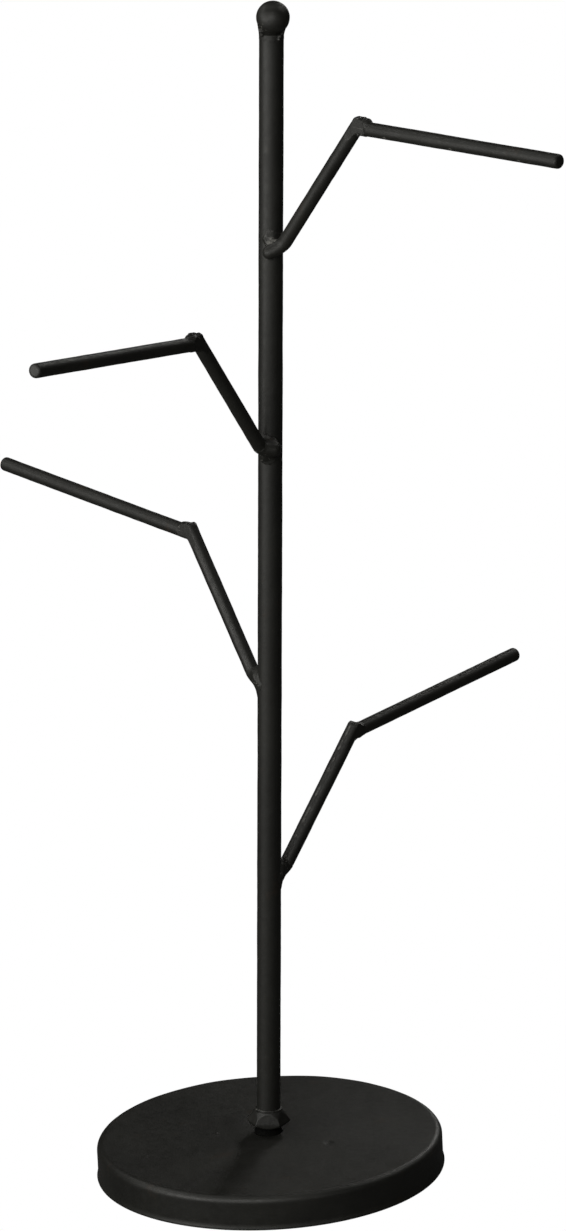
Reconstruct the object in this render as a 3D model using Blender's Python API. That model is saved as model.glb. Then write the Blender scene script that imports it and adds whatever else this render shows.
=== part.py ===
"""Mug tree: a welded iron stand with four bent branches on a weighted round base.

Metres, +Z up. The origin is the centre of the underside, on the surface the stand rests on.
The post leans a little towards +X, as a hand-welded one does, so everything that stands on the
base is built along its own axis and hung on one empty, the upright.
"""
import math

import bmesh
import bpy
from mathutils import Matrix, Vector

MM = 0.001
GAP = 0.3 * MM                      # clearance that touching pieces keep

# Base
BASE_RADIUS = 72.5 * MM
BASE_FLARE = 0.5 * MM               # how far the skirt's lower edge turns out
SHEET = 1.2 * MM                    # thickness of the pressed sheet
SKIRT_CLEARANCE = 0.8 * MM          # the skirt hangs this far above the table
SKIRT_HEIGHT = 14.4 * MM
EDGE_RADIUS = 2.9 * MM              # pressed corner between the top and the skirt
STRAIGHT_HEM = 2.0 * MM             # the part of the skirt that turns out
CROWN = 1.5 * MM                    # rise of the top at its centre
RIM_HEIGHT = SKIRT_CLEARANCE + SKIRT_HEIGHT
BOLT_HOLE_RADIUS = 4.2 * MM
PAD_RADIUS = 69.0 * MM
PAD_THICKNESS = 3.0 * MM
BALLAST_RADIUS = BASE_RADIUS - SHEET - 2 * GAP
BALLAST_BOTTOM = PAD_THICKNESS + GAP
BALLAST_CHAMFER = 1.2 * MM
RECESS_RADIUS = 9.0 * MM
RECESS_TOP = RIM_HEIGHT - 4.25 * MM

# Upright, in heights above the point where its axis crosses the rim plane of the base
POST_LEAN = math.radians(2.94)
FOOT_OFFSET = -0.3 * MM             # the post stands this far off the base's centre
POST_RADIUS = 5.0 * MM
BALL_RADIUS = 6.8 * MM
BALL_HEIGHT = 478.1 * MM
POST_TOP = BALL_HEIGHT - BALL_RADIUS - GAP
FINIAL_WELD_TOP = -22               # degrees below the ball's equator
FINIAL_WELD_LAP = 2.2 * MM          # how far the weld laps down over the post
NUT_BOTTOM = 4.6 * MM
NUT_WIDEST = 6.6 * MM
NUT_TOP = 12.1 * MM
NUT_EDGE = 0.5 * MM                 # half the height of the corners' upright part
NUT_CHAMFER = 1.7 * MM              # how far the lower cone cuts in at the corners
NUT_ACROSS_FLATS = 15.8 * MM
NUT_TURN = math.radians(2.7)
POST_BOTTOM = NUT_BOTTOM + GAP
NECK_FOOT_RADIUS = 7.6 * MM         # of the weld under the nut, where it meets the sheet
NECK_RADIUS = 6.4 * MM
TAPPED_RADIUS = 3.2 * MM
TAPPED_TOP = 20.0 * MM

# Bolt and washers under the base
BOLT_RADIUS = 2.9 * MM
BOLT_TOP = 18.0 * MM
HEAD_ACROSS_FLATS = 10.0 * MM
HEAD_TOP = -7.65 * MM
HEAD_THICKNESS = 3.0 * MM
WASHER_RADIUS = 6.2 * MM
WASHER_BOTTOM = -5.75 * MM
WASHER_THICKNESS = 1.0 * MM
SPRING_WASHER_RADIUS = 5.2 * MM
SPRING_WASHER_BOTTOM = -7.35 * MM
SPRING_WASHER_THICKNESS = 1.0 * MM
SPRING_WASHER_RISE = 0.25 * MM
SPRING_WASHER_SWEEP = math.radians(350)

# Branches: a stem of rod rises to a knee, and an arm of the same rod runs out from it
ROD_RADIUS = 2.95 * MM
KNEE_REACH = 46.0 * MM
TIP_REACH = 152.8 * MM
ROOT_REACH = 9.0 * MM               # where the stem turns level to meet the post
STEM_BEND = 2.4 * MM                # length of the turn, each side of its corner
ROOT_END = 6.5 * MM                 # distance from the post's axis to the stem's lower end
ROOT_WELD_LENGTH = 3.6 * MM
STEM_PAST_KNEE = 4.6 * MM           # the stem's cut end stands this far past the arm's line
ARM_START = 5.8 * MM                # distance from the knee to the arm's cut end
KNEE_WELD_LENGTH = 3.0 * MM
WELD_RADIUS = 4.0 * MM              # of the wide end, against the bar
TIP_ROUNDING = 0.7 * MM

# name: height where the stem's line meets the post's axis, stem direction, knee rise,
# arm direction, tip rise, direction in which the stem's root meets the post
BRANCHES = {
    "lower_right": (104.6 * MM, 42.5, 62.2 * MM, 46.7, 72.2 * MM, 42.5),
    "middle_left": (187.5 * MM, 133.9, 65.0 * MM, 137.4, 75.3 * MM, 140.0),
    "upper_left": (289.2 * MM, -128.8, 63.2 * MM, -127.2, 74.6 * MM, -108.0),
    "top_right": (373.8 * MM, -42.2, 66.5 * MM, -42.5, 70.0 * MM, -62.0),
}

# Steps round a full turn
BASE_STEPS = 72
POST_STEPS = 32
SMALL_STEPS = 24
WELD_STEPS = 24
ROD_BEVEL_RESOLUTION = 3            # gives a rod 16 sides
SHARP_ANGLE = math.radians(35)

IRON_PAINT = ((0.030, 0.030, 0.027, 1.0), 0.45, 0.6)
CAST_IRON = ((0.060, 0.058, 0.055, 1.0), 0.75, 0.8)
ZINC_STEEL = ((0.45, 0.46, 0.47, 1.0), 0.35, 1.0)
PAD_RUBBER = ((0.020, 0.020, 0.020, 1.0), 0.95, 0.0)


def clear_scene():
    for item in list(bpy.data.objects):
        bpy.data.objects.remove(item, do_unlink=True)


def give_material(item, look):
    colour, roughness, metallic = look
    material = bpy.data.materials.new(item.name + "_material")
    material.use_nodes = True
    shader = material.node_tree.nodes["Principled BSDF"]
    shader.inputs["Base Color"].default_value = colour
    shader.inputs["Roughness"].default_value = roughness
    shader.inputs["Metallic"].default_value = metallic
    material.diffuse_color = colour
    item.data.materials.append(material)


def add_object(name, data, parent=None):
    item = bpy.data.objects.new(name, data)
    bpy.context.scene.collection.objects.link(item)
    item.parent = parent
    return item


def finish_mesh(name, shape, look=None, parent=None):
    """Turn a bmesh into a smooth-shaded object with its faces pointing out."""
    bmesh.ops.recalc_face_normals(shape, faces=shape.faces)
    mesh = bpy.data.meshes.new(name)
    shape.to_mesh(mesh)
    shape.free()
    mesh.shade_smooth()
    mesh.set_sharp_from_angle(angle=SHARP_ANGLE)
    item = add_object(name, mesh, parent)
    if look:
        give_material(item, look)
    return item


def spin_profile(shape, profile, steps, closed, sweep=2 * math.pi, rise=0.0):
    """Turn a profile of (radius, height) points about Z. A closed one makes a ring."""
    points = [shape.verts.new((radius, 0.0, height)) for radius, height in profile]
    pairs = list(zip(points, points[1:]))
    if closed:
        pairs.append((points[-1], points[0]))
    edges = [shape.edges.new(pair) for pair in pairs]
    full_turn = sweep > 2 * math.pi - 1e-6
    if closed and not full_turn:
        shape.faces.new(points)
    bmesh.ops.spin(shape, geom=points + edges, cent=(0, 0, 0), axis=(0, 0, 1),
                   dvec=(0, 0, rise / steps), angle=sweep, steps=steps,
                   use_merge=full_turn, use_duplicate=False)
    bmesh.ops.remove_doubles(shape, verts=shape.verts, dist=1e-6)


def turned(name, profile, steps, look=None, parent=None, closed=False):
    shape = bmesh.new()
    spin_profile(shape, profile, steps, closed)
    return finish_mesh(name, shape, look, parent)


def prism(name, across_flats, bottom, top, turn=0.0, look=None, parent=None):
    """A hexagonal prism with one flat facing -Y, turned by the given angle."""
    shape = bmesh.new()
    placed = Matrix.Translation((0, 0, (bottom + top) / 2)) @ Matrix.Rotation(turn, 4, "Z")
    bmesh.ops.create_cone(shape, cap_ends=True, segments=6, depth=top - bottom,
                          radius1=across_flats / math.sqrt(3),
                          radius2=across_flats / math.sqrt(3),
                          matrix=placed @ Matrix.Rotation(math.radians(30), 4, "Z"))
    return finish_mesh(name, shape, look, parent)


def add_boolean(item, cutter, operation):
    cutter.hide_render = True
    cutter.display_type = "WIRE"
    change = item.modifiers.new(operation.lower(), "BOOLEAN")
    change.operation = operation
    change.solver = "EXACT"
    change.object = cutter


def arc(centre, radius, start, end, steps):
    """Points of an arc in the (radius, height) plane, with angles in degrees."""
    points = []
    for step in range(steps + 1):
        angle = math.radians(start + (end - start) * step / steps)
        points.append((centre[0] + radius * math.cos(angle),
                       centre[1] + radius * math.sin(angle)))
    return points


def crown_height(radius):
    """Rise of the base's top above its rim: a soft dome that is level at both ends."""
    flat_radius = BASE_RADIUS - EDGE_RADIUS
    share = min(radius / flat_radius, 1.0)
    return CROWN * 0.5 * (1 + math.cos(math.pi * share))


def crown_line(inner, outer, drop, steps):
    """Points along the crowned top, from one radius to another, lowered by a distance."""
    points = []
    for step in range(steps + 1):
        radius = inner + (outer - inner) * step / steps
        points.append((radius, RIM_HEIGHT + crown_height(radius) - drop))
    return points


def make_base():
    corner = (BASE_RADIUS - EDGE_RADIUS, RIM_HEIGHT - EDGE_RADIUS)
    outside = crown_line(BOLT_HOLE_RADIUS, corner[0], 0.0, 6)
    outside += arc(corner, EDGE_RADIUS, 90, 0, 4)[1:]
    flare_start = SKIRT_CLEARANCE + STRAIGHT_HEM
    outside += [(BASE_RADIUS, flare_start), (BASE_RADIUS + BASE_FLARE, SKIRT_CLEARANCE)]
    inside = [(BASE_RADIUS + BASE_FLARE - SHEET, SKIRT_CLEARANCE),
              (BASE_RADIUS - SHEET, flare_start)]
    inside += arc(corner, EDGE_RADIUS - SHEET, 0, 90, 2)
    inside += crown_line(corner[0], BOLT_HOLE_RADIUS, SHEET, 6)[1:]
    turned("base_shell", outside + inside, BASE_STEPS, IRON_PAINT, closed=True)

    top = crown_line(BOLT_HOLE_RADIUS, BALLAST_RADIUS - BALLAST_CHAMFER, SHEET + GAP, 5)
    edge_top = top[-1][1] - BALLAST_CHAMFER
    sides = [(BALLAST_RADIUS, edge_top), (BALLAST_RADIUS, BALLAST_BOTTOM),
             (RECESS_RADIUS, BALLAST_BOTTOM), (RECESS_RADIUS, RECESS_TOP),
             (BOLT_HOLE_RADIUS, RECESS_TOP)]
    turned("base_ballast", top + sides, BASE_STEPS, CAST_IRON, closed=True)

    pad = [(0, 0), (PAD_RADIUS, 0), (PAD_RADIUS, PAD_THICKNESS), (0, PAD_THICKNESS)]
    turned("base_pad", pad, BASE_STEPS, PAD_RUBBER)


def make_upright():
    upright = add_object("upright", None)
    upright.location = (FOOT_OFFSET, 0, RIM_HEIGHT)
    upright.rotation_euler = (0, POST_LEAN, 0)
    return upright


def make_post(upright):
    edge = 0.3 * MM
    profile = [(0, POST_TOP), (POST_RADIUS - edge, POST_TOP), (POST_RADIUS, POST_TOP - edge),
               (POST_RADIUS, POST_BOTTOM), (TAPPED_RADIUS, POST_BOTTOM),
               (TAPPED_RADIUS, TAPPED_TOP), (0, TAPPED_TOP + TAPPED_RADIUS / 2)]
    turned("post", profile, POST_STEPS, IRON_PAINT, upright)


def make_finial(upright):
    ball = arc((0, BALL_HEIGHT), BALL_RADIUS, 90, -90, 12)
    ball[0] = (0, ball[0][1])
    ball[-1] = (0, ball[-1][1])
    turned("finial_ball", ball, SMALL_STEPS, IRON_PAINT, upright)

    # The weld fills the wedge under the ball and laps down over the post's end.
    seat = BALL_RADIUS + GAP
    shelf = POST_TOP + GAP
    lowest = math.degrees(math.asin((shelf - BALL_HEIGHT) / seat))
    profile = arc((0, BALL_HEIGHT), seat, lowest, FINIAL_WELD_TOP, 4)
    lap_bottom = POST_TOP - FINIAL_WELD_LAP
    profile += [(POST_RADIUS + 3 * GAP, shelf),
                (POST_RADIUS + 2 * GAP, lap_bottom + GAP),
                (POST_RADIUS + GAP, lap_bottom), (POST_RADIUS + GAP, shelf)]
    turned("finial_weld", profile, SMALL_STEPS, IRON_PAINT, upright, closed=True)


def make_foot(upright):
    # The nut is ground to a long cone above and a short one below, so its corners are its
    # widest points only in the middle.
    corner = NUT_ACROSS_FLATS / math.sqrt(3)
    bore = POST_RADIUS + GAP
    cone = [(bore, NUT_TOP), (bore + 2 * GAP, NUT_TOP),
            (corner, NUT_WIDEST + NUT_EDGE), (corner, NUT_WIDEST - NUT_EDGE),
            (corner - NUT_CHAMFER, NUT_BOTTOM), (bore, NUT_BOTTOM)]
    nut = turned("foot_nut", cone, SMALL_STEPS * 2, IRON_PAINT, upright, closed=True)
    flats = prism("nut_flats", NUT_ACROSS_FLATS, NUT_BOTTOM - GAP, NUT_TOP + GAP, -NUT_TURN,
                  parent=upright)
    add_boolean(nut, flats, "INTERSECT")

    # The weld is a short neck that carries the nut above the sheet.
    lean_slack = NECK_FOOT_RADIUS * math.tan(POST_LEAN)
    low = CROWN + GAP + lean_slack
    high = NUT_BOTTOM - GAP
    neck = [(BOLT_RADIUS + 2 * GAP, low), (NECK_FOOT_RADIUS, low),
            (0.5 * (NECK_FOOT_RADIUS + NECK_RADIUS), low + 0.4 * (high - low)),
            (NECK_RADIUS, high), (BOLT_RADIUS + 2 * GAP, high)]
    turned("foot_weld", neck, SMALL_STEPS, IRON_PAINT, upright, closed=True)


def make_bolt(upright):
    head = prism("base_bolt", HEAD_ACROSS_FLATS, HEAD_TOP - HEAD_THICKNESS, HEAD_TOP,
                 look=ZINC_STEEL, parent=upright)
    point = 0.8 * MM
    middle = HEAD_TOP - HEAD_THICKNESS / 2
    profile = [(0, BOLT_TOP), (BOLT_RADIUS - point, BOLT_TOP),
               (BOLT_RADIUS, BOLT_TOP - point), (BOLT_RADIUS, middle), (0, middle)]
    shank = turned("bolt_shank", profile, SMALL_STEPS, parent=upright)
    add_boolean(head, shank, "UNION")

    hole = BOLT_RADIUS + GAP
    bottom, top = WASHER_BOTTOM, WASHER_BOTTOM + WASHER_THICKNESS
    washer = [(hole, bottom), (WASHER_RADIUS, bottom), (WASHER_RADIUS, top), (hole, top)]
    turned("bolt_washer", washer, SMALL_STEPS, ZINC_STEEL, upright, closed=True)

    bottom = SPRING_WASHER_BOTTOM
    top = bottom + SPRING_WASHER_THICKNESS
    section = [(hole, bottom), (SPRING_WASHER_RADIUS, bottom),
               (SPRING_WASHER_RADIUS, top), (hole, top)]
    shape = bmesh.new()
    spin_profile(shape, section, SMALL_STEPS, True, SPRING_WASHER_SWEEP, SPRING_WASHER_RISE)
    close_open_ends(shape)
    finish_mesh("bolt_spring_washer", shape, ZINC_STEEL, upright)


def close_open_ends(shape):
    """Cap every open loop, so the shape is one closed body."""
    open_edges = [edge for edge in shape.edges if edge.is_boundary]
    if open_edges:
        bmesh.ops.holes_fill(shape, edges=open_edges, sides=0)


def polar(degrees, reach, height):
    angle = math.radians(degrees)
    return Vector((reach * math.cos(angle), reach * math.sin(angle), height))


def bend_corner(before, corner, after, length, steps):
    """A smooth turn that leaves one line and joins the next, as points of a quadratic."""
    start = corner + (before - corner).normalized() * length
    end = corner + (after - corner).normalized() * length
    points = []
    for step in range(steps + 1):
        t = step / steps
        points.append(start.lerp(corner, t).lerp(corner.lerp(end, t), t))
    return points


def rod(name, points, upright, end_rounding=0.0):
    """A round bar through the points, with flat cut ends, or a rounded far end."""
    curve = bpy.data.curves.new(name, "CURVE")
    curve.dimensions = "3D"
    curve.bevel_depth = ROD_RADIUS
    curve.bevel_resolution = ROD_BEVEL_RESOLUTION
    curve.use_fill_caps = True
    radii = [1.0] * len(points)
    if end_rounding:
        along = (points[-1] - points[-2]).normalized()
        tip = points.pop()
        radii.pop()
        for share in (1.0, 0.6, 0.25, 0.0):
            points.append(tip - along * end_rounding * share)
            fall = end_rounding * (1 - math.sqrt(1 - (1 - share) ** 2))
            radii.append(1 - fall / ROD_RADIUS)
    line = curve.splines.new("POLY")
    line.points.add(len(points) - 1)
    for target, point, radius in zip(line.points, points, radii):
        target.co = (*point, 1.0)
        target.radius = radius
    item = add_object(name, curve, upright)
    give_material(item, IRON_PAINT)
    return item


def place_along(start, direction):
    """A matrix that puts local Z along a direction, with the local origin at a point."""
    return Matrix.Translation(start) @ direction.to_track_quat("Z", "Y").to_matrix().to_4x4()


def make_weld(name, end, outward, length, clearance, upright):
    """A cone of weld between a rod's end and the round bar it meets, hollowed to that bar."""
    shape = bmesh.new()
    bmesh.ops.create_cone(shape, cap_ends=True, segments=WELD_STEPS, depth=length,
                          radius1=WELD_RADIUS, radius2=ROD_RADIUS)
    bmesh.ops.transform(shape, matrix=place_along(end - outward * (GAP + length / 2), outward),
                        verts=shape.verts)
    weld = finish_mesh(name, shape, IRON_PAINT, upright)
    add_boolean(weld, clearance, "DIFFERENCE")


def make_branch(name, plan, post_clearance, upright):
    base, stem_turn, knee_rise, arm_turn, tip_rise, root_turn = plan
    knee = polar(stem_turn, KNEE_REACH, base + knee_rise)
    tip = polar(arm_turn, TIP_REACH, base + tip_rise)
    corner_height = base + knee_rise * ROOT_REACH / KNEE_REACH
    corner = polar(0.5 * (stem_turn + root_turn), ROOT_REACH, corner_height)
    root = polar(root_turn, ROOT_END, corner_height)
    upward = (knee - corner).normalized()
    to_tip = (tip - knee).normalized()
    stem_top = knee + upward * STEM_PAST_KNEE
    arm_start = knee + to_tip * ARM_START

    rod("stem_" + name, [root, *bend_corner(root, corner, knee, STEM_BEND, 6), stem_top], upright)
    rod("arm_" + name, [arm_start, knee.lerp(tip, 0.5), tip], upright, TIP_ROUNDING)

    outward = (corner - root).normalized()
    make_weld("root_weld_" + name, root, outward, ROOT_WELD_LENGTH, post_clearance, upright)

    radius, half = ROD_RADIUS + GAP, STEM_PAST_KNEE + GAP
    profile = [(0, half), (radius, half), (radius, -2 * half), (0, -2 * half)]
    stem_clearance = turned("stem_clearance_" + name, profile, WELD_STEPS, parent=upright)
    stem_clearance.matrix_local = place_along(knee, upward)
    make_weld("knee_weld_" + name, arm_start, to_tip, KNEE_WELD_LENGTH, stem_clearance, upright)


def make_branches(upright):
    clearance_radius = POST_RADIUS + GAP
    low, high = NUT_TOP, POST_TOP
    profile = [(0, high), (clearance_radius, high), (clearance_radius, low), (0, low)]
    post_clearance = turned("post_clearance", profile, POST_STEPS, parent=upright)
    for name, plan in BRANCHES.items():
        make_branch(name, plan, post_clearance, upright)


def main():
    clear_scene()
    make_base()
    upright = make_upright()
    make_post(upright)
    make_finial(upright)
    make_foot(upright)
    make_bolt(upright)
    make_branches(upright)


main()
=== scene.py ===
"""Looks for the mug tree: a hand-welded iron stand in satin black paint, on a pale floor.

The visible skins are traced outward from each bar's own line to the surface of a distance field,
so a weld flows into the bars it joins. Fields are in millimetres, in the upright's own frame:
its origin is where the post's axis crosses the rim plane of the base, and Z runs up the post.
"""

import math

import bpy
import numpy as np
from mathutils import Matrix, Vector


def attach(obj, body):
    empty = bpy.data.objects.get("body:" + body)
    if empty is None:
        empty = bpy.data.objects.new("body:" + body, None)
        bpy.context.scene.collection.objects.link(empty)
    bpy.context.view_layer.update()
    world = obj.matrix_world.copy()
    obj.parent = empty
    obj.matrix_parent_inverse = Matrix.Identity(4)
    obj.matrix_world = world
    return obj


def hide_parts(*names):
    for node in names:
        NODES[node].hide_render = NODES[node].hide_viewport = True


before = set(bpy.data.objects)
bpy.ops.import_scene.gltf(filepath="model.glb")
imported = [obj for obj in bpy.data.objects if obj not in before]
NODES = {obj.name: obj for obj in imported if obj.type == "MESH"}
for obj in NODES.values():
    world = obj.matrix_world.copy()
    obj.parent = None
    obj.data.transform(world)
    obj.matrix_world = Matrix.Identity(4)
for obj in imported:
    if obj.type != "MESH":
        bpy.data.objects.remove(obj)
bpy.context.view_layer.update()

MM = 0.001

# Dimensions shared with the CAD part, in millimetres and degrees
BASE_RADIUS, BASE_FLARE, SHEET = 72.5, 0.5, 1.2
SKIRT_CLEARANCE, SKIRT_HEIGHT, EDGE_RADIUS, CROWN = 0.8, 14.4, 2.9, 1.5
RIM_HEIGHT = SKIRT_CLEARANCE + SKIRT_HEIGHT
BOLT_HOLE_RADIUS = 4.2
POST_LEAN, FOOT_OFFSET = 2.94, -0.3
POST_RADIUS, BALL_RADIUS, BALL_HEIGHT = 5.0, 6.8, 478.1
POST_TOP = BALL_HEIGHT - BALL_RADIUS - 0.3
NUT_BOTTOM, NUT_WIDEST, NUT_TOP = 4.6, 6.6, 12.1
NUT_ACROSS_FLATS, NUT_TURN = 15.8, 2.7
ROD_RADIUS, KNEE_REACH, TIP_REACH = 2.95, 46.0, 152.8
ROOT_REACH, ROOT_END, STEM_BEND = 9.0, 6.5, 2.4
STEM_PAST_KNEE, TIP_ROUNDING = 4.6, 0.7

# Hand finish, in millimetres: how the knees were trimmed and ground, and where the ball sits
STEM_END_TRIM, STEM_END_REACH = 0.5, 0.3
GROUND_FLAT = 2.55
BALL_OFFSET = 0.6

# The nut: how far its sides lean in above and below its widest line, in degrees, the same for
# the side in front, which is filed back, the slopes of the cones that trim its corners above and
# below, and which way round its bead of weld lies
NUT_LEANS, FILED_LEANS = (21.0, -16.0), (11.0, -4.0)
FILED_DEPTH = 0.9
NUT_CONES = math.radians(53.5), math.radians(32.0)
NUT_BEAD_TURN = math.radians(125)

# The collar of weld under the ball: how much it narrows for each millimetre down, how far down
# its foot is, and the beads on it, as places and radii
COLLAR_TAPER, COLLAR_FOOT = 0.24, 6.9
COLLAR_BEADS = (((-3.7, -3.7, 471.9), 0.75), ((3.3, -4.1, 471.2), 0.7), ((3.0, -4.3, 470.1), 0.6))

# The branches, by name: height where the stem's line meets the post's axis, stem direction, knee rise,
# arm direction, tip rise, direction in which the stem's root meets the post
BRANCHES = {
    "lower_right": (104.6, 42.5, 62.2, 46.7, 72.2, 42.5),
    "middle_left": (187.5, 133.9, 65.0, 137.4, 75.3, 140.0),
    "upper_left": (289.2, -128.8, 63.2, -127.2, 74.6, -108.0),
    "top_right": (373.8, -42.2, 66.5, -42.5, 70.0, -62.0),
}

# Where a stem runs on past its root along the post's front: its end, with the height measured
# from the root
FRONT_ROOT_ENDS = {"upper_left": (1.2, -6.2, -1.6), "top_right": (-0.4, -6.4, -4.2)}

# Root welds: centre (height from the root), size, how proud, softness, and lumpiness
ROOT_WELDS = {
    "lower_right": ((4.2, 3.9, -3.0), 6.6, 0.1, 6.5, 0.5),
    "middle_left": ((-4.4, 3.7, -3.0), 6.6, 0.1, 6.5, 0.5),
    "upper_left": ((-1.6, -5.0, -2.4), 6.2, 0.1, 3.4, 0.3),
    "top_right": ((0.6, -5.2, 1.3), 3.8, 0.15, 1.2, 0.8),
}

# Knee welds: how proud, and softness
KNEE_WELDS = {
    "lower_right": (0.15, 1.2),
    "middle_left": (0.05, 0.7),
    "upper_left": (0.15, 1.2),
    "top_right": (0.2, 1.2),
}

# Extra beads of weld, each with its radius: at the roots, with the height measured from the
# root, and at the knees, as steps along the arm, toward the ground side, and up the stem
ROOT_BEADS = {
    "lower_right": [],
    "middle_left": [],
    "upper_left": [((-2.3, -3.9, -4.9), 2.0)],
    "top_right": [((-1.6, -4.5, -0.2), 0.9), ((4.3, -2.4, 2.3), 0.9)],
}
KNEE_BEADS = {
    "lower_right": [((6.8, 0.3, -3.5), 0.9)],
    "middle_left": [((4.2, 0.9, 1.6), 2.2), ((2.3, 0.0, 3.0), 1.9)],
    "upper_left": [((3.7, 0.0, 2.7), 2.4)],
    "top_right": [((3.9, 0.2, 2.6), 2.5)],
}
KNEE_SPATTER = {
    "lower_right": [((1.9, 1.6, 3.4), 0.5), ((2.2, 1.9, 1.2), 0.45)],
    "middle_left": [],
    "upper_left": [],
    "top_right": [((4.9, 2.6, -2.7), 0.8)],
}

# Marks on the base's top: place, half width and half depth, and rise (a dent is negative)
BASE_MARKS = (
    (-12.5, 11.0, 8.5, 15.0, 0.30),
    (24.9, -15.6, 2.6, 3.0, -0.30),
    (-22.4, 1.4, 1.0, 1.2, 0.30),
    (-51.6, -19.8, 1.2, 1.4, 0.35),
)

# The upright's own frame, which all the fields and the camera's place are given in
UPRIGHT = (Matrix.Translation((FOOT_OFFSET * MM, 0, RIM_HEIGHT * MM))
           @ Matrix.Rotation(math.radians(POST_LEAN), 4, "Y"))

# The camera, in degrees and metres, with its lens and sensor in millimetres. These were chosen
# to match the object's outline in the photograph.
CAMERA_PITCH, CAMERA_YAW, CAMERA_ROLL = 16.926, 0.103, 0.181
CAMERA_DISTANCE, CAMERA_HEIGHT = 3.0, 1.14035
LENS, SENSOR_WIDTH = 223.34, 36.0

# The room: half the floor's width in metres, how light the floor is to the object, and how
# bright the room is
FLOOR_HALF, FLOOR_SHADE, ROOM_STRENGTH = 6.0, 0.10, 0.003

# Soft lights, in metres: direction from the post in degrees, distance, height, width, height of
# the panel, and watts. Low and high rows in front and on the left, weak ones behind, and one
# overhead.
LIGHT_AIM, LIGHT_COLOUR = (0.0, 0.0, 0.2), (1.0, 0.99, 0.95)
LIGHTS = {
    "key_low_left": (-152, 1.0, 0.35, 0.35, 0.35, 2.0),
    "key_low": (-136, 1.0, 0.35, 0.35, 0.35, 2.2),
    "key_low_right": (-104, 1.0, 0.35, 0.35, 0.35, 0.9),
    "key_high_left": (-168, 1.0, 0.80, 0.35, 0.35, 2.3),
    "key_high_right": (-104, 1.0, 0.80, 0.35, 0.35, 3.3),
    "fill": (-60, 2.0, 0.60, 0.80, 0.80, 2.0),
    "back_left": (150, 1.34, 1.69, 0.60, 0.60, 4.0),
    "back_right": (30, 1.34, 1.69, 0.60, 0.60, 4.0),
    "back_low": (70, 1.83, 0.90, 0.40, 0.40, 3.8),
    "overhead": (90, 0.05, 2.20, 0.50, 0.50, 2.2),
}


# ---------------------------------------------------------------- camera, floor and lights

def unit(vector):
    """The same direction with a length of one."""
    vector = np.asarray(vector, float)
    return vector / np.linalg.norm(vector)


def polar(degrees, reach, height):
    """A point at a distance from the upright axis, in a direction."""
    angle = math.radians(degrees)
    return np.array((reach * math.cos(angle), reach * math.sin(angle), height))


def make_camera():
    """The camera stands square to the leaning post, so the base tilts in the picture instead."""
    pitch, yaw, roll = map(math.radians, (CAMERA_PITCH, CAMERA_YAW, CAMERA_ROLL))
    forward = Vector((math.sin(yaw) * math.cos(pitch), math.cos(yaw) * math.cos(pitch),
                      -math.sin(pitch)))
    level = Vector((math.cos(yaw), -math.sin(yaw), 0.0))
    upward = level.cross(forward)
    right = level * math.cos(roll) + upward * math.sin(roll)
    up = upward * math.cos(roll) - level * math.sin(roll)
    placed = Matrix.Translation((0.0, -CAMERA_DISTANCE, CAMERA_HEIGHT))
    for row in range(3):
        placed[row][0], placed[row][1], placed[row][2] = right[row], up[row], -forward[row]
    lens = bpy.data.cameras.new("camera")
    lens.lens = LENS
    lens.sensor_width = SENSOR_WIDTH
    lens.clip_end = 30.0
    camera = bpy.data.objects.new("camera", lens)
    bpy.context.scene.collection.objects.link(camera)
    camera.matrix_world = UPRIGHT @ placed
    bpy.context.scene.camera = camera


def soft_light(name, place, width, height, watts):
    """A rectangular soft light that faces the stand."""
    lamp = bpy.data.lights.new(name, "AREA")
    lamp.shape = "RECTANGLE"
    lamp.size, lamp.size_y = width, height
    lamp.energy = watts
    lamp.color = LIGHT_COLOUR
    item = bpy.data.objects.new(name, lamp)
    bpy.context.scene.collection.objects.link(item)
    item.location = place
    item.rotation_euler = (Vector(LIGHT_AIM) - Vector(place)).to_track_quat("-Z", "Y").to_euler()


def make_floor_material():
    """Plain white to the camera, and a dim grey to the light that falls on it."""
    material = bpy.data.materials.new("floor")
    material.use_nodes = True
    tree = material.node_tree
    tree.nodes.clear()
    output = tree.nodes.new("ShaderNodeOutputMaterial")
    mix = tree.nodes.new("ShaderNodeMixShader")
    path = tree.nodes.new("ShaderNodeLightPath")
    matt = tree.nodes.new("ShaderNodeBsdfDiffuse")
    matt.inputs["Color"].default_value = (FLOOR_SHADE, FLOOR_SHADE, FLOOR_SHADE, 1.0)
    white = tree.nodes.new("ShaderNodeEmission")
    white.inputs["Color"].default_value = (1.0, 1.0, 1.0, 1.0)
    white.inputs["Strength"].default_value = 1.0
    tree.links.new(path.outputs["Is Camera Ray"], mix.inputs["Fac"])
    tree.links.new(matt.outputs["BSDF"], mix.inputs[1])
    tree.links.new(white.outputs["Emission"], mix.inputs[2])
    tree.links.new(mix.outputs["Shader"], output.inputs["Surface"])
    return material


def make_stage():
    """A pale floor that throws little light back, a dim room, and the soft lights."""
    bpy.context.scene.view_settings.view_transform = "Standard"
    half = FLOOR_HALF
    mesh = bpy.data.meshes.new("floor")
    mesh.from_pydata([(-half, -half, 0), (half, -half, 0), (half, half, 0), (-half, half, 0)],
                     [], [(0, 1, 2, 3)])
    floor = bpy.data.objects.new("floor", mesh)
    bpy.context.scene.collection.objects.link(floor)
    mesh.materials.append(make_floor_material())

    world = bpy.data.worlds.new("studio")
    bpy.context.scene.world = world
    world.use_nodes = True
    background = world.node_tree.nodes["Background"]
    background.inputs["Color"].default_value = (1.0, 0.99, 0.96, 1.0)
    background.inputs["Strength"].default_value = ROOM_STRENGTH

    for name, (turn, reach, height, width, tall, watts) in LIGHTS.items():
        soft_light(name, polar(turn, reach, height), width, tall, watts)


# ------------------------------------------------------------------------- distance fields

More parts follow.
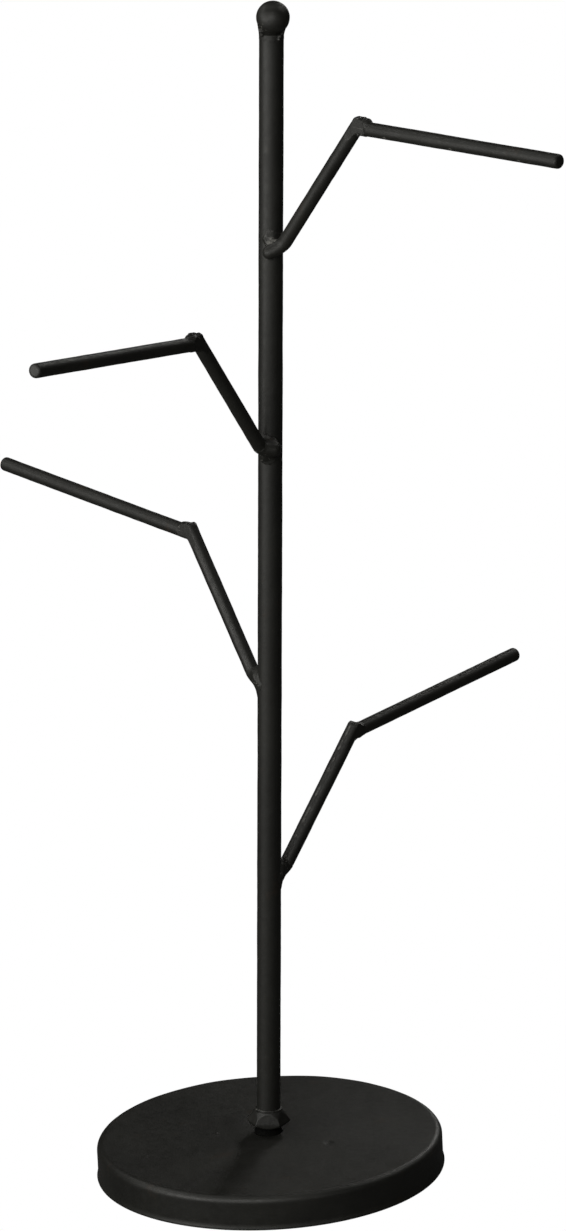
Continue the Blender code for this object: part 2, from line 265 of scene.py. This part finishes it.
def lattice(ix, iy, iz, seed):
    """A repeatable number from -1 to 1 at each whole-numbered corner of space."""
    mixed = (ix * 374761393 + iy * 668265263 + iz * 1440662683 + seed * 974634777) & 0xFFFFFFFF
    mixed = ((mixed ^ (mixed >> 13)) * 1274126177) & 0xFFFFFFFF
    mixed = mixed ^ (mixed >> 16)
    return (mixed & 0xFFFF) / 32767.5 - 1.0


def noise(points, size, seed):
    """Smooth noise from -1 to 1 with lumps of about the given size."""
    scaled = np.asarray(points) / size
    low = np.floor(scaled).astype(np.int64)
    part = scaled - low
    part = part * part * (3 - 2 * part)
    total = np.zeros(len(scaled))
    for dx in (0, 1):
        for dy in (0, 1):
            for dz in (0, 1):
                weight = (np.where(dx, part[:, 0], 1 - part[:, 0])
                          * np.where(dy, part[:, 1], 1 - part[:, 1])
                          * np.where(dz, part[:, 2], 1 - part[:, 2]))
                total += weight * lattice(low[:, 0] + dx, low[:, 1] + dy, low[:, 2] + dz, seed)
    return total


def blend_min(a, b, softness):
    """The nearer of two surfaces, with a concave fillet where they meet."""
    share = np.clip(0.5 + 0.5 * (b - a) / softness, 0, 1)
    return b + (a - b) * share - softness * share * (1 - share)


def blend_max(a, b, softness):
    """What two solids share, with a rounded edge where they meet."""
    return -blend_min(-a, -b, softness)


def to_line(points, line):
    """Distance from each point to a line through the given corners."""
    nearest = np.full(len(points), np.inf)
    for start, end in zip(line[:-1], line[1:]):
        span = end - start
        length = np.linalg.norm(span)
        t = np.clip((points - start) @ span / length ** 2, 0, 1)
        gap = np.linalg.norm(points - start - t[:, None] * span, axis=1)
        nearest = np.minimum(nearest, gap)
    return nearest


def cut(point, normal):
    """A plane as a field: positive on the side that its normal points to."""
    point, normal = np.asarray(point, float), unit(normal)
    return lambda p: (p - point) @ normal


def bar_field(line, ends, seed, edge):
    """A round bar along a line, cut by planes at its end, and slightly uneven as if hand-made."""
    line = np.asarray(line, float)
    wobble = 0.05

    def field(p):
        d = to_line(p, line) - ROD_RADIUS
        d = d + wobble * noise(p, 5.0, seed) + 0.5 * wobble * noise(p, 2.2, seed + 1)
        for plane in ends:
            d = blend_max(d, plane(p), edge)
        return d
    return field


def post_field(p):
    """The post, endless both ways."""
    return np.hypot(p[:, 0], p[:, 1]) - POST_RADIUS


def with_beads(field, beads, softness):
    """A field with round beads of weld grown onto it."""
    def grown(p):
        d = field(p)
        for centre, radius in beads:
            d = blend_min(d, np.linalg.norm(p - centre, axis=1) - radius, softness)
        return d
    return grown


def ground(field, centre, normal, depth, reach):
    """A field with a flat ground on one side, which runs out beyond its reach."""
    normal = unit(normal)

    def flattened(p):
        past = np.maximum(np.linalg.norm(p - centre, axis=1) - reach, 0)
        return blend_max(field(p), (p - centre) @ normal - depth - 0.4 * past, 0.12)
    return flattened


# ------------------------------------------------------------------------------------ skins

def reach_out(field, origins, directions, first, limit):
    """How far each ray goes from inside a solid before it comes out of its surface."""
    steps, stride, shortest = 40, 0.95, 0.02
    t = np.full(len(origins), float(first))
    for _ in range(steps):
        t = np.clip(t - stride * field(origins + directions * t[:, None]), shortest, limit)
    return t


def turning_frames(line):
    """A direction along the line and two across it at each point, turning as little as may be."""
    along = np.gradient(line, axis=0)
    along /= np.linalg.norm(along, axis=1)[:, None]
    across = np.cross(along[0], (0.0, 0.0, 1.0))
    if np.linalg.norm(across) < 1e-3:
        across = np.array((1.0, 0.0, 0.0))
    first = []
    for direction in along:
        across = unit(across - direction * (across @ direction))
        first.append(across)
    first = np.array(first)
    return along, first, np.cross(along, first)


def resample(line, spacing):
    """The same line with its points an even distance apart."""
    line = np.asarray(line, float)
    lengths = np.r_[0, np.cumsum(np.linalg.norm(np.diff(line, axis=0), axis=1))]
    count = max(2, int(round(lengths[-1] / spacing)) + 1)
    stations = np.linspace(0, lengths[-1], count)
    return np.stack([np.interp(stations, lengths, line[:, i]) for i in range(3)], axis=1)


def tube_mesh(field, line, spacing, sides, cap_rings, first, limit):
    """Points and faces of a closed skin: rings square to a line, and a fan of rays at each end."""
    line = resample(line, spacing)
    along, one, two = turning_frames(line)
    tilts = np.linspace(0, 90, cap_rings + 1)[1:-1]
    stations = [(0, -tilt) for tilt in tilts[::-1]]
    stations += [(i, 0.0) for i in range(len(line))]
    stations += [(len(line) - 1, tilt) for tilt in tilts]
    index = np.array([s[0] for s in stations])
    tilt = np.radians([s[1] for s in stations])
    turn = np.linspace(0, 2 * math.pi, sides, endpoint=False)
    flat = (one[index][:, None, :] * np.cos(turn)[None, :, None]
            + two[index][:, None, :] * np.sin(turn)[None, :, None])
    directions = (flat * np.cos(tilt)[:, None, None]
                  + along[index][:, None, :] * np.sin(tilt)[:, None, None]).reshape(-1, 3)
    origins = np.repeat(line[index], sides, axis=0)
    poles = np.array([-along[0], along[-1]])
    directions = np.vstack([directions, poles])
    origins = np.vstack([origins, line[0], line[-1]])
    t = reach_out(field, origins, directions, first, limit)
    points = origins + directions * t[:, None]
    rings = len(stations)
    faces = []
    for i in range(rings - 1):
        for j in range(sides):
            k = (j + 1) % sides
            faces.append((i * sides + j, i * sides + k, (i + 1) * sides + k, (i + 1) * sides + j))
    bottom, top = rings * sides, rings * sides + 1
    for j in range(sides):
        k = (j + 1) % sides
        faces.append((bottom, k, j))
        faces.append((top, (rings - 1) * sides + j, (rings - 1) * sides + k))
    return points, faces


def ball_mesh(field, centre, fineness, first, limit):
    """Points and faces of a closed skin around a point, from rays spread evenly over a sphere."""
    # A cube's faces, swelled to a sphere, give even quads with no poles.
    keys, directions, faces = {}, [], []

    def corner(side, u, v):
        a = math.tan(math.radians(45) * (2 * u / fineness - 1))
        b = math.tan(math.radians(45) * (2 * v / fineness - 1))
        axis, sign = divmod(side, 2)
        direction = [a, b]
        direction.insert(axis, 1.0 if sign else -1.0)
        key = tuple(round(x / max(map(abs, direction)) * 1e6) for x in direction)
        if key not in keys:
            keys[key] = len(directions)
            directions.append(unit(direction))
        return keys[key]

    for side in range(6):
        flip = (side in (1, 2, 5))
        for u in range(fineness):
            for v in range(fineness):
                face = [corner(side, u, v), corner(side, u + 1, v),
                        corner(side, u + 1, v + 1), corner(side, u, v + 1)]
                faces.append(tuple(face if flip else face[::-1]))
    directions = np.array(directions)
    origins = np.repeat(np.asarray(centre, float)[None], len(directions), axis=0)
    t = reach_out(field, origins, directions, first, limit)
    return origins + directions * t[:, None], faces


def add_piece(name, points, faces, material, node, placed=UPRIGHT):
    """A visible piece from millimetre points, standing for one CAD node."""
    matrix = np.array(placed)
    world = (points * MM) @ matrix[:3, :3].T + matrix[:3, 3]
    mesh = bpy.data.meshes.new(name)
    mesh.from_pydata(world.tolist(), [], faces)
    mesh.validate()
    mesh.shade_smooth()
    mesh.materials.append(material)
    piece = bpy.data.objects.new(name, mesh)
    bpy.context.scene.collection.objects.link(piece)
    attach(piece, "root")
    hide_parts(node)


# -------------------------------------------------------------------------------- materials

class Nodes:
    """Short calls that build a material's node tree."""

    def __init__(self, name):
        self.material = bpy.data.materials.new(name)
        self.material.use_nodes = True
        self.tree = self.material.node_tree
        self.shader = self.tree.nodes["Principled BSDF"]
        self.place = self.add("ShaderNodeTexCoord").outputs["Object"]

    def add(self, kind, **settings):
        node = self.tree.nodes.new(kind)
        for key, value in settings.items():
            setattr(node, key, value)
        return node

    def link(self, source, target):
        self.tree.links.new(source, target)

    def noise(self, per_metre, detail=3.0, rough=0.55):
        """Smooth noise, with this many lumps to the metre."""
        node = self.add("ShaderNodeTexNoise")
        self.link(self.place, node.inputs["Vector"])
        node.inputs["Scale"].default_value = per_metre
        node.inputs["Detail"].default_value = detail
        node.inputs["Roughness"].default_value = rough
        return node.outputs["Fac"]

    def ramp(self, source, low, high, start=0.0, end=1.0):
        """Source from low to high becomes start to end, and is held outside that."""
        node = self.add("ShaderNodeMapRange")
        node.inputs["From Min"].default_value = low
        node.inputs["From Max"].default_value = high
        node.inputs["To Min"].default_value = start
        node.inputs["To Max"].default_value = end
        self.link(source, node.inputs["Value"])
        return node.outputs["Result"]

    def mix(self, factor, first, second):
        """Two colours, or sockets, mixed by a socket."""
        node = self.add("ShaderNodeMix", data_type="RGBA")
        self.link(factor, node.inputs[0])
        for value, socket in ((first, node.inputs[6]), (second, node.inputs[7])):
            if isinstance(value, tuple):
                socket.default_value = (*value, 1.0)
            else:
                self.link(value, socket)
        return node.outputs[2]

    def math(self, operation, first, second):
        """One step of arithmetic on numbers or sockets."""
        node = self.add("ShaderNodeMath", operation=operation)
        for value, socket in ((first, node.inputs[0]), (second, node.inputs[1])):
            if isinstance(value, (int, float)):
                socket.default_value = value
            else:
                self.link(value, socket)
        return node.outputs[0]

    def bump(self, height, distance, under=None):
        """Relief this many metres deep, over another relief if one is given."""
        node = self.add("ShaderNodeBump")
        node.inputs["Strength"].default_value = 1.0
        node.inputs["Distance"].default_value = distance
        self.link(height, node.inputs["Height"])
        if under is not None:
            self.link(under, node.inputs["Normal"])
        return node.outputs["Normal"]


def make_paint(name, grain=1.0, wear_and_highlight=1.0, gloss=0.0):
    """Satin black paint over iron: mottled, speckled, and lighter on raised edges, partly rubbed paint
    and partly a painted highlight along the ridges.
    """
    n = Nodes(name)
    cloud = n.ramp(n.noise(45.0), 0.35, 0.65)
    colour = n.mix(cloud, (0.0050, 0.0050, 0.0038), (0.0095, 0.0095, 0.0075))
    rusty = n.ramp(n.noise(70.0, 5.0, 0.65), 0.60, 0.72, 0.0, 0.75)
    colour = n.mix(rusty, colour, (0.018, 0.011, 0.006))
    speck = n.ramp(n.noise(2600.0, 2.0, 0.6), 0.60, 0.72, 0.0, 0.6)
    colour = n.mix(speck, colour, (0.034, 0.032, 0.026))

    # Raised edges are lightened by pointiness: partly rubbed paint, partly a painted highlight that
    # stands in for glints on the ridges.
    edge = n.add("ShaderNodeNewGeometry").outputs["Pointiness"]
    rubbed_and_highlit = n.ramp(edge, 0.53, 0.60, 0.0, 0.55 * wear_and_highlight)
    rubbed_and_highlit = n.math("MULTIPLY", rubbed_and_highlit, n.ramp(n.noise(500.0), 0.40, 0.60))
    colour = n.mix(rubbed_and_highlit, colour, (0.20, 0.195, 0.18))
    n.link(colour, n.shader.inputs["Base Color"])

    rough = n.ramp(n.noise(300.0, 4.0, 0.6), 0.3, 0.7, 0.48 - gloss, 0.60 - gloss)
    n.link(rough, n.shader.inputs["Roughness"])
    n.shader.inputs["Specular IOR Level"].default_value = 0.5
    broad = n.bump(n.noise(260.0, 3.0, 0.5), 0.00006 * grain)
    middle = n.bump(n.noise(900.0, 3.0, 0.6), 0.000035 * grain, broad)
    fine = n.bump(n.noise(3800.0, 2.0, 0.6), 0.000012 * grain, middle)
    n.link(fine, n.shader.inputs["Normal"])
    return n.material


def make_neck_shade_paint():
    """Near-black matt paint with almost no shine on the weld under the nut: painted shade for the dark
    gap that the nut's overhang shades.
    """
    n = Nodes("weld_neck_shade_paint")
    # Painted shade: the colours are kept near black so the neck reads as the shadow under the nut.
    cloud = n.ramp(n.noise(500.0), 0.35, 0.65)
    n.link(n.mix(cloud, (0.0015, 0.0015, 0.0015), (0.004, 0.004, 0.0035)),
           n.shader.inputs["Base Color"])
    n.shader.inputs["Roughness"].default_value = 0.85
    n.shader.inputs["Specular IOR Level"].default_value = 0.05
    n.link(n.bump(n.noise(1500.0, 3.0, 0.6), 0.0001), n.shader.inputs["Normal"])
    return n.material


def make_cast_iron():
    """A raw casting with a little rust."""
    n = Nodes("cast_iron")
    cloud = n.ramp(n.noise(60.0, 5.0, 0.6), 0.35, 0.65)
    colour = n.mix(cloud, (0.045, 0.043, 0.041), (0.085, 0.078, 0.070))
    rust = n.ramp(n.noise(110.0, 6.0, 0.65), 0.58, 0.70, 0.0, 0.7)
    n.link(n.mix(rust, colour, (0.14, 0.065, 0.030)), n.shader.inputs["Base Color"])
    n.link(n.ramp(n.noise(400.0), 0.3, 0.7, 0.62, 0.85), n.shader.inputs["Roughness"])
    n.shader.inputs["Metallic"].default_value = 0.6
    coarse = n.bump(n.noise(500.0, 4.0, 0.6), 0.00015)
    n.link(n.bump(n.noise(2200.0), 0.00005, coarse), n.shader.inputs["Normal"])
    return n.material


def make_zinc():
    """Bright zinc plate."""
    n = Nodes("zinc_steel")
    cloud = n.ramp(n.noise(220.0, 4.0, 0.6), 0.35, 0.65)
    n.link(n.mix(cloud, (0.42, 0.43, 0.45), (0.58, 0.58, 0.56)), n.shader.inputs["Base Color"])
    n.link(n.ramp(n.noise(900.0), 0.3, 0.7, 0.26, 0.42), n.shader.inputs["Roughness"])
    n.shader.inputs["Metallic"].default_value = 1.0
    n.link(n.bump(n.noise(2600.0), 0.00002), n.shader.inputs["Normal"])
    return n.material


def make_rubber():
    """Matt black rubber, dusty from the table."""
    n = Nodes("pad_rubber")
    dust = n.ramp(n.noise(140.0, 5.0, 0.65), 0.45, 0.75, 0.0, 0.5)
    n.link(n.mix(dust, (0.016, 0.016, 0.016), (0.060, 0.058, 0.054)),
           n.shader.inputs["Base Color"])
    n.link(n.ramp(n.noise(500.0), 0.3, 0.7, 0.75, 0.95), n.shader.inputs["Roughness"])
    coarse = n.bump(n.noise(1500.0, 3.0, 0.6), 0.00008)
    n.link(coarse, n.shader.inputs["Normal"])
    return n.material


# ------------------------------------------------------------------------------------- base

def crown_height(radius):
    """How far the slightly domed top rises over its rim."""
    share = np.clip(radius / (BASE_RADIUS - EDGE_RADIUS), 0, 1)
    return CROWN * 0.5 * (1 + np.cos(math.pi * share))


def arc(centre, radius, start, end, steps):
    """Points of a round stretch of outline, from one angle in degrees to another."""
    turn = np.radians(np.linspace(start, end, steps + 1))
    return np.stack([centre[0] + radius * np.cos(turn), centre[1] + radius * np.sin(turn)], 1)


def marks(flat):
    """Height of the knocks and weld spatter on the base's top."""
    height = np.zeros(len(flat))
    for x, y, across, deep, rise in BASE_MARKS:
        far = np.hypot((flat[:, 0] - x) / across, (flat[:, 1] - y) / deep)
        height += rise * np.clip(1 - far ** 2, 0, 1) ** 2
    return height


def shell_outline():
    """The shell's closed outline as radius and height: top, corner, skirt, hem, and inside."""
    corner = (BASE_RADIUS - EDGE_RADIUS, RIM_HEIGHT - EDGE_RADIUS)
    rim, inner_wall = BASE_RADIUS + BASE_FLARE, BASE_RADIUS - SHEET
    flare_start, inside_top, lip = SKIRT_CLEARANCE + 2.0, 8.0, 0.35
    top = np.linspace(BOLT_HOLE_RADIUS, corner[0], 110)
    skirt = np.linspace(corner[1], flare_start, 16)[1:]
    hem = [(BASE_RADIUS + BASE_FLARE * 0.5, SKIRT_CLEARANCE + 1.0),
           (rim, SKIRT_CLEARANCE + lip),
           (rim - 0.1, SKIRT_CLEARANCE + 0.1),
           (rim - lip, SKIRT_CLEARANCE),
           (rim - SHEET + lip, SKIRT_CLEARANCE),
           (rim - SHEET, SKIRT_CLEARANCE + lip)]
    below = np.linspace(corner[0], BOLT_HOLE_RADIUS, 30)
    return np.vstack([np.stack([top, RIM_HEIGHT + crown_height(top)], 1),
                      arc(corner, EDGE_RADIUS, 90, 0, 10)[1:],
                      np.stack([np.full(len(skirt), BASE_RADIUS), skirt], 1),
                      hem,
                      [(inner_wall, flare_start), (inner_wall, inside_top)],
                      arc(corner, EDGE_RADIUS - SHEET, 0, 90, 4),
                      np.stack([below, RIM_HEIGHT + crown_height(below) - SHEET], 1)[1:]])


def make_base(paint):
    """The pressed shell, turned from its outline, with an uneven top and skirt."""
    profile = shell_outline()
    rings, steps = len(profile), 360
    turn = np.linspace(0, 2 * math.pi, steps, endpoint=False)
    radius, height = profile[:, 0][:, None], profile[:, 1][:, None]
    points = np.stack([radius * np.cos(turn), radius * np.sin(turn),
                       height + np.zeros(steps)], axis=2).reshape(-1, 3)
    out = points.copy()
    flat = points * (1.0, 1.0, 0.0)
    facing_up = np.clip((points[:, 2] - RIM_HEIGHT + 2.0) / 1.5, 0, 1)
    lift = 0.16 * noise(flat, 26.0, 11) + 0.05 * noise(flat, 8.0, 12)
    out[:, 2] += facing_up * (lift + marks(flat))
    around = np.hypot(points[:, 0], points[:, 1])[:, None]
    side = (1 - facing_up) * np.clip((points[:, 2] - SKIRT_CLEARANCE) / 2.0, 0, 1)
    out[:, :2] += (points[:, :2] / around) * (side * 0.05 * noise(points, 9.0, 13))[:, None]
    faces = []
    for i in range(rings):
        below_ring = (i + 1) % rings
        for j in range(steps):
            k = (j + 1) % steps
            faces.append((i * steps + j, below_ring * steps + j, below_ring * steps + k,
                          i * steps + k))
    add_piece("base_shell_skin", out, faces, paint, "base_shell",
              Matrix.Identity(4))


# ----------------------------------------------------------------------------- foot and top

def nut_field(p):
    """A six-sided nut whose sides lean in above and below its widest line, filed flat in front."""
    half, corner = NUT_ACROSS_FLATS / 2, NUT_ACROSS_FLATS / math.sqrt(3)
    over = p[:, 2] - NUT_WIDEST
    d = np.full(len(p), -1e9)
    for side in range(6):
        angle = math.radians(-90 - NUT_TURN + 60 * side)
        out = p[:, 0] * math.cos(angle) + p[:, 1] * math.sin(angle) - half
        filed, leans = (FILED_DEPTH, FILED_LEANS) if side == 0 else (0.0, NUT_LEANS)
        for lean in map(math.radians, leans):
            d = blend_max(d, (out + filed) * math.cos(lean) + over * math.sin(lean), 0.14)
    around = np.hypot(p[:, 0], p[:, 1]) - corner
    upper, lower = NUT_CONES
    d = blend_max(d, around * math.sin(upper) + (over - 0.4) * math.cos(upper), 0.2)
    d = blend_max(d, around * math.sin(lower) - (over + 0.3) * math.cos(lower), 0.2)
    d = blend_max(d, p[:, 2] - NUT_TOP, 0.25)
    d = blend_max(d, NUT_BOTTOM - p[:, 2], 0.2)

    # A ring of weld round the post, thickest at the front on the left
    turn = np.arctan2(p[:, 1], p[:, 0])
    bead = np.hypot(around + corner - POST_RADIUS - 0.35, p[:, 2] - NUT_TOP + 0.1) - 0.1
    bead = bead - 0.65 * np.cos(turn + NUT_BEAD_TURN) - 0.3 * noise(p, 1.1, 23)
    d = blend_min(d, bead, 0.5)
    return d + 0.05 * noise(p, 2.6, 21) + 0.025 * noise(p, 0.9, 22)


def make_foot(paint, neck_shade_paint):
    """The nut at the post's foot, and the neck of weld under it, coloured near-black as painted shade.
    """
    middle = 0.5 * (NUT_BOTTOM + NUT_TOP)
    line = np.array([(0, 0, NUT_BOTTOM + 1.5), (0, 0, middle), (0, 0, NUT_TOP - 1.5)])
    points, faces = tube_mesh(nut_field, line, spacing=0.15, sides=240, cap_rings=34, first=5.0,
                              limit=12.0)
    add_piece("foot_nut_skin", points, faces, paint, "foot_nut")

    def neck(p):
        around = np.hypot(p[:, 0], p[:, 1])
        height = p[:, 2]
        wide = 6.2 - 1.0 * np.clip((height - CROWN) / 2.0, 0, 1)
        wide = wide + 0.30 * noise(p, 2.4, 31) + 0.10 * noise(p, 1.0, 32)
        d = around - wide
        d = blend_max(d, height - NUT_BOTTOM - 0.4, 0.4)
        return blend_max(d, CROWN - 0.6 - height, 0.4)

    line = np.array([(0, 0, CROWN + 0.8), (0, 0, NUT_BOTTOM - 1.2)])
    points, faces = tube_mesh(neck, line, spacing=0.25, sides=160, cap_rings=20, first=4.0,
                              limit=10.0)
    # The neck gets the near-black painted shade.
    add_piece("foot_weld_skin", points, faces, neck_shade_paint, "foot_weld")


def make_post(paint):
    """The round bar, a little uneven along its length."""
    def field(p):
        d = post_field(p) + 0.05 * noise(p * (1, 1, 0.4), 6.0, 41) + 0.02 * noise(p, 2.5, 42)
        d = blend_max(d, p[:, 2] - POST_TOP - 0.2, 0.4)
        return blend_max(d, NUT_BOTTOM + 0.4 - p[:, 2], 0.4)

    line = np.array([(0, 0, NUT_BOTTOM + 4.5), (0, 0, POST_TOP - 4.5)])
    points, faces = tube_mesh(field, line, spacing=0.7, sides=72, cap_rings=12, first=4.0,
                              limit=9.0)
    add_piece("post_skin", points, faces, paint, "post")


def ball_field(p):
    """The ball, a touch uneven."""
    centre = np.array((BALL_OFFSET, 0.0, BALL_HEIGHT))
    return (np.linalg.norm(p - centre, axis=1) - BALL_RADIUS + 0.04 * noise(p, 3.0, 51)
            + 0.015 * noise(p, 1.2, 52) + 0.02)


def collar_field(p):
    """The weld under the ball.

    It fills both sides and the back. In front it only closes the gap, so the ball's round
    underside shows.
    """
    depth = BALL_HEIGHT - p[:, 2]
    drift = BALL_OFFSET * np.clip(1 - depth / 7.0, 0, 1)
    out = np.hypot(p[:, 0] - drift, p[:, 1])
    sides = out - (BALL_RADIUS - 0.1 - COLLAR_TAPER * depth)
    notch = np.maximum(np.abs(p[:, 0] - drift) - 3.9, p[:, 1] + 1.4)
    notch = notch - 0.25 * noise(p, 1.6, 53)
    sides = blend_max(sides, -notch, 0.5)
    steep = 1.5
    front = np.hypot(p[:, 0], p[:, 1]) - (POST_RADIUS + 0.05 - steep * (6.5 - depth))
    d = blend_min(sides, front / math.hypot(1, steep), 0.5)
    cone = out - BALL_RADIUS + 0.1 + COLLAR_TAPER * np.minimum(depth, COLLAR_FOOT)
    d = blend_max(d, cone, 0.2)
    d = blend_max(d, 0.9 - depth, 0.8)
    d = blend_max(d, POST_TOP - 2.0 - p[:, 2] + 0.5 * noise(p, 2.2, 54), 0.5)
    for spot, radius in COLLAR_BEADS:
        d = blend_min(d, np.linalg.norm(p - np.array(spot), axis=1) - radius, 0.4)
    return d + 0.07 * noise(p, 1.8, 55) + 0.04 * noise(p, 0.8, 56)


def make_finial(paint):
    """The ball on the post's end, and the weld that holds it."""
    centre = np.array((BALL_OFFSET, 0.0, BALL_HEIGHT))
    points, faces = ball_mesh(ball_field, centre, fineness=44, first=6.0, limit=9.0)
    add_piece("finial_ball_skin", points, faces, paint, "finial_ball")

    line = np.array([(0, 0, POST_TOP - 0.5), (0, 0, BALL_HEIGHT - 3.0)])
    points, faces = tube_mesh(collar_field, line, spacing=0.2, sides=200, cap_rings=26,
                              first=4.0, limit=9.0)
    add_piece("finial_weld_skin", points, faces, paint, "finial_weld")


# --------------------------------------------------------------------------------- branches

class Branch:
    """The lines and fields of one branch."""

    def __init__(self, name, plan, seed):
        base, stem_turn, knee_rise, arm_turn, tip_rise, root_turn = plan
        self.name, self.seed = name, seed
        self.knee = polar(stem_turn, KNEE_REACH, base + knee_rise)
        self.tip = polar(arm_turn, TIP_REACH, base + tip_rise)
        corner_height = base + knee_rise * ROOT_REACH / KNEE_REACH
        corner = polar(0.5 * (stem_turn + root_turn), ROOT_REACH, corner_height)
        self.root = polar(root_turn, ROOT_END, corner_height)
        self.upward = unit(self.knee - corner)
        self.to_tip = unit(self.tip - self.knee)
        side = unit(np.cross(self.upward, self.to_tip))
        self.facing = side * (-1.0 if side[1] > 0 else 1.0)
        self.stem_top = self.knee + self.upward * STEM_PAST_KNEE
        if name in FRONT_ROOT_ENDS:
            corner = corner - self.upward
            start = FRONT_ROOT_ENDS[name] + np.array((0, 0, corner_height))
        else:
            start = self.root - unit(corner - self.root)
        self.stem_line = np.vstack([start, self.bend(start, corner), self.stem_top])
        self.stem = self.stem_field()
        self.arm = self.arm_field()

    def bend(self, start, corner):
        """Points of the curve by which the stem turns up from its root."""
        before = corner + unit(start - corner) * STEM_BEND
        after = corner + self.upward * STEM_BEND
        t = np.linspace(0, 1, 9)[:, None]
        return (1 - t) ** 2 * before + 2 * t * (1 - t) * corner + t ** 2 * after

    def stem_field(self):
        """The rising rod: its bar runs on past the knee and is cut back to its end."""
        past = self.stem_top + self.upward * 9
        end = cut(self.stem_top + self.upward * STEM_END_REACH, self.upward)
        bar = bar_field(np.vstack([self.stem_line, past]), [self.sawn_end, end], self.seed, 0.2)
        return ground(bar, self.knee, self.facing, GROUND_FLAT, 5.5)

    def arm_field(self):
        """The outer rod, from inside the knee to its rounded tip."""
        line = [self.knee + self.to_tip * 1.0, self.tip, self.tip + self.to_tip * 9]
        bar = bar_field(line, [cut(self.tip, self.to_tip)], self.seed + 5, 2 * TIP_ROUNDING)
        return ground(bar, self.knee, self.facing, GROUND_FLAT, 6.5)

    def sawn_end(self, p):
        """The stem's end: trimmed level, rough, and a little hollow in the middle."""
        far = np.linalg.norm(p - self.stem_top, axis=1)
        hollow = 0.8 * np.clip(1 - far / 2.4, 0, 1)
        return (p[:, 2] - self.stem_top[2] - STEM_END_TRIM + hollow
                + 0.30 * noise(p, 1.1, self.seed + 30))

    def at_knee(self, along_arm, toward_facing, up_stem):
        """A place at the knee, in steps along its own directions."""
        return (self.knee + self.to_tip * along_arm + self.facing * toward_facing
                + self.upward * up_stem)


def weld_field(first, second, centre, size, raised, softness, lumpy, seed):
    """Weld metal over the place where two bars meet: proud in the middle, gone at its rim."""
    def field(p):
        far = np.linalg.norm(p - centre, axis=1)
        ragged = size + 0.9 * noise(p, 3.0, seed) + 0.4 * noise(p, 1.3, seed + 1)
        height = raised - 0.9 * np.maximum(far - ragged, 0)
        lumps = lumpy * (0.12 * noise(p, 1.7, seed + 2) + 0.06 * noise(p, 0.8, seed + 3))
        return blend_min(first(p), second(p), softness) - height - lumps
    return field


def make_rods(branch, paint):
    """A branch's stem and arm."""
    line = branch.stem_line.copy()
    line[-1] = branch.stem_top - branch.upward * (ROD_RADIUS - 1.0)
    points, faces = tube_mesh(branch.stem, line, spacing=0.5, sides=80, cap_rings=18, first=2.0,
                              limit=6.5)
    name = branch.name
    add_piece("stem_skin_" + name, points, faces, paint, "stem_" + name)

    line = np.array([branch.knee + branch.to_tip * 2.0,
                     branch.tip - branch.to_tip * (ROD_RADIUS - 0.2)])
    points, faces = tube_mesh(branch.arm, line, spacing=0.6, sides=64, cap_rings=14, first=2.0,
                              limit=6.0)
    add_piece("arm_skin_" + name, points, faces, paint, "arm_" + name)


def make_knee_weld(branch, paint):
    """The weld at a knee: built up in beads, trimmed level with the stem's end, ground flat."""
    name = branch.name
    centre = branch.at_knee(2.4, 0.0, 0.6)
    raised, softness = KNEE_WELDS[name]
    weld = weld_field(branch.stem, branch.arm, centre, 4.4, raised, softness, 0.5,
                      branch.seed + 10)
    beads = [(branch.at_knee(*spot), radius) for spot, radius in KNEE_BEADS[name]]
    built_up = with_beads(weld, beads, 1.4)
    top = branch.stem_top + np.array((0, 0, STEM_END_TRIM + 0.1))

    def trimmed(p):
        return blend_max(built_up(p), (p - top)[:, 2] + 0.1 * noise(p, 1.2, branch.seed), 0.2)

    flattened = ground(trimmed, branch.knee, branch.facing, GROUND_FLAT + 0.04, 6.5)
    spatter = [(branch.at_knee(*spot), radius) for spot, radius in KNEE_SPATTER[name]]
    points, faces = ball_mesh(with_beads(flattened, spatter, 0.25), centre, fineness=60,
                              first=2.0, limit=14.0)
    add_piece("knee_weld_skin_" + name, points, faces, paint, "knee_weld_" + name)


def make_root_weld(branch, paint):
    """The weld where a stem meets the post."""
    name = branch.name
    spot, size, raised, softness, lumpy = ROOT_WELDS[name]
    foot = np.array((0, 0, branch.root[2]))
    centre = foot + spot
    weld = weld_field(post_field, branch.stem, centre, size, raised, softness, lumpy,
                      branch.seed + 20)
    built_up = with_beads(weld, [(foot + at, radius) for at, radius in ROOT_BEADS[name]], 1.6)
    points, faces = ball_mesh(built_up, centre, fineness=60, first=2.0, limit=14.0)
    add_piece("root_weld_skin_" + name, points, faces, paint, "root_weld_" + name)


def give(node, material):
    """Put a material on every slot of a CAD node that stays in view."""
    item = NODES[node]
    for slot in item.material_slots:
        slot.link = "OBJECT"
        slot.material = material


def main():
    """The camera, the stage, the skins, and materials for the pieces inside the base."""
    make_camera()
    make_stage()
    paint = make_paint("black_iron_paint")
    weld_paint = make_paint("black_iron_weld", grain=1.6, wear_and_highlight=1.4)
    make_base(make_paint("black_iron_base", grain=0.22, wear_and_highlight=0.6, gloss=0.03))
    make_foot(weld_paint, make_neck_shade_paint())
    make_post(paint)
    make_finial(weld_paint)
    for order, (name, plan) in enumerate(BRANCHES.items()):
        branch = Branch(name, plan, 100 + 50 * order)
        make_rods(branch, paint)
        make_knee_weld(branch, weld_paint)
        make_root_weld(branch, weld_paint)
    give("base_ballast", make_cast_iron())
    give("base_pad", make_rubber())
    zinc = make_zinc()
    for node in ("base_bolt", "bolt_washer", "bolt_spring_washer"):
        give(node, zinc)


main()
